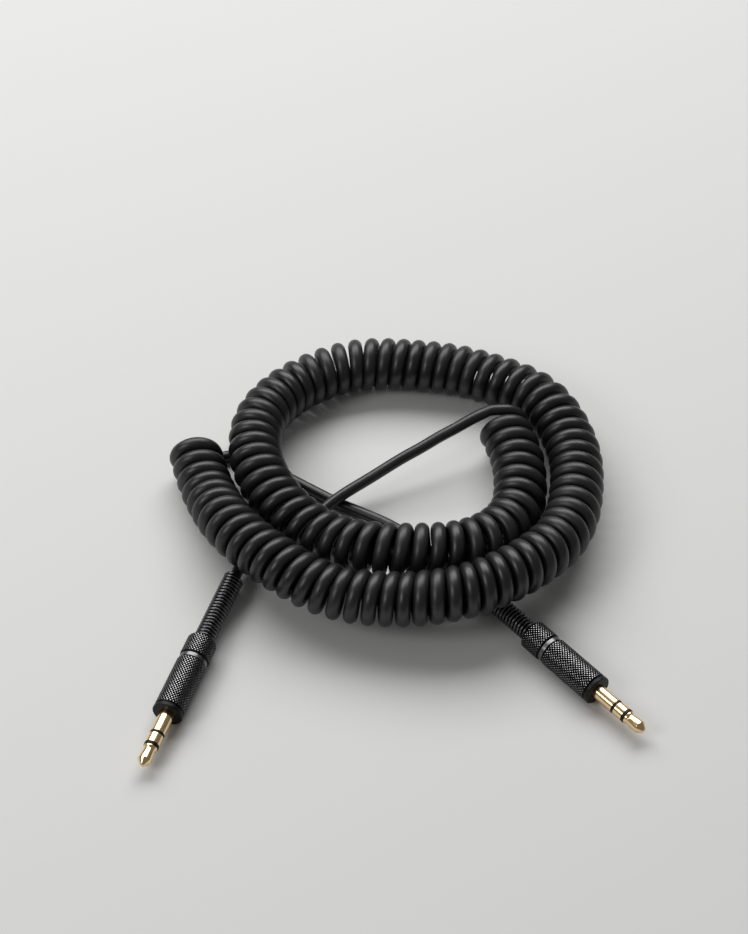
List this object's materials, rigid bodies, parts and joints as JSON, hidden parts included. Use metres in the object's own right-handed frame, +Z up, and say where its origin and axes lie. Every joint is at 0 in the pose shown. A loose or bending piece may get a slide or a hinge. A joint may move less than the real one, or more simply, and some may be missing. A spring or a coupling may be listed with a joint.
{
  "type": "curly audio lead",
  "caption": "Curly black stereo audio lead lying in a loose coil, with a three-contact mini jack plug, knurled screw-on shell and spring cord guard on each end.",
  "frame": {"origin": "on the surface that the lead lies on, under the middle of the box round the two plugs; the free cord is not counted", "axes": "+Z up, +Y away from the viewer towards the coil, +X from the left plug to the right plug"},
  "size_m": [0.1134, 0.1281, 0.0199],
  "materials": {
    "cord_jacket": "satin black flexible jacket",
    "gold_plate": "polished gold plate on brass",
    "black_plastic": "moulded black plastic",
    "black_anodised": "black anodised, diamond knurled",
    "bright_band": "polished",
    "black_spring": "black oxide steel wire",
    "liner_plastic": "milky insulating tube",
    "wire_red": "wire insulation",
    "wire_white": "wire insulation",
    "wire_green": "wire insulation"
  },
  "bodies": {
    "lead": {"curly_cord": "cord_jacket", "left_tail": "cord_jacket", "right_tail": "cord_jacket", "left_tip_contact": "gold_plate", "left_tip_insulator": "black_plastic", "left_ring_contact": "gold_plate", "left_ring_insulator": "black_plastic", "left_sleeve_contact": "gold_plate", "left_front_collar": "black_plastic", "left_liner": "liner_plastic", "left_tip_wire": "wire_red", "left_ring_wire": "wire_white", "left_ground_wire": "wire_green", "right_tip_contact": "gold_plate", "right_tip_insulator": "black_plastic", "right_ring_contact": "gold_plate", "right_ring_insulator": "black_plastic", "right_sleeve_contact": "gold_plate", "right_front_collar": "black_plastic", "right_liner": "liner_plastic", "right_tip_wire": "wire_red", "right_ring_wire": "wire_white", "right_ground_wire": "wire_green"},
    "left_strain_relief": {"left_spring": "black_spring"},
    "left_shell": {"left_barrel": "black_anodised", "left_band_ring": "bright_band", "left_rear_cap": "black_anodised"},
    "right_strain_relief": {"right_spring": "black_spring"},
    "right_shell": {"right_barrel": "black_anodised", "right_band_ring": "bright_band", "right_rear_cap": "black_anodised"}
  },
  "joints": [
    {"name": "left_spring_slide", "type": "slide", "parent": "lead", "child": "left_strain_relief", "axis": [0.3256, 0.9455, 0], "range_m": [0, 0.002]},
    {"name": "left_shell_unscrew", "type": "hinge", "parent": "left_strain_relief", "child": "left_shell", "pos_m": [-0.04582, 0.00189, 0.0036], "axis": [0.3256, 0.9455, 0], "range_deg": [0, 1440]},
    {"name": "right_spring_slide", "type": "slide", "parent": "lead", "child": "right_strain_relief", "axis": [-0.6561, 0.7547, 0], "range_m": [0, 0.002]},
    {"name": "right_shell_unscrew", "type": "hinge", "parent": "right_strain_relief", "child": "right_shell", "pos_m": [0.03605, 0.00543, 0.0036], "axis": [-0.6561, 0.7547, 0], "range_deg": [0, 1440]}
  ],
  "couplings": [
    {"joint": "left_shell_unscrew", "follows": "left_spring_slide", "rad_per_m": 12566},
    {"joint": "right_shell_unscrew", "follows": "right_spring_slide", "rad_per_m": 12566}
  ]
}
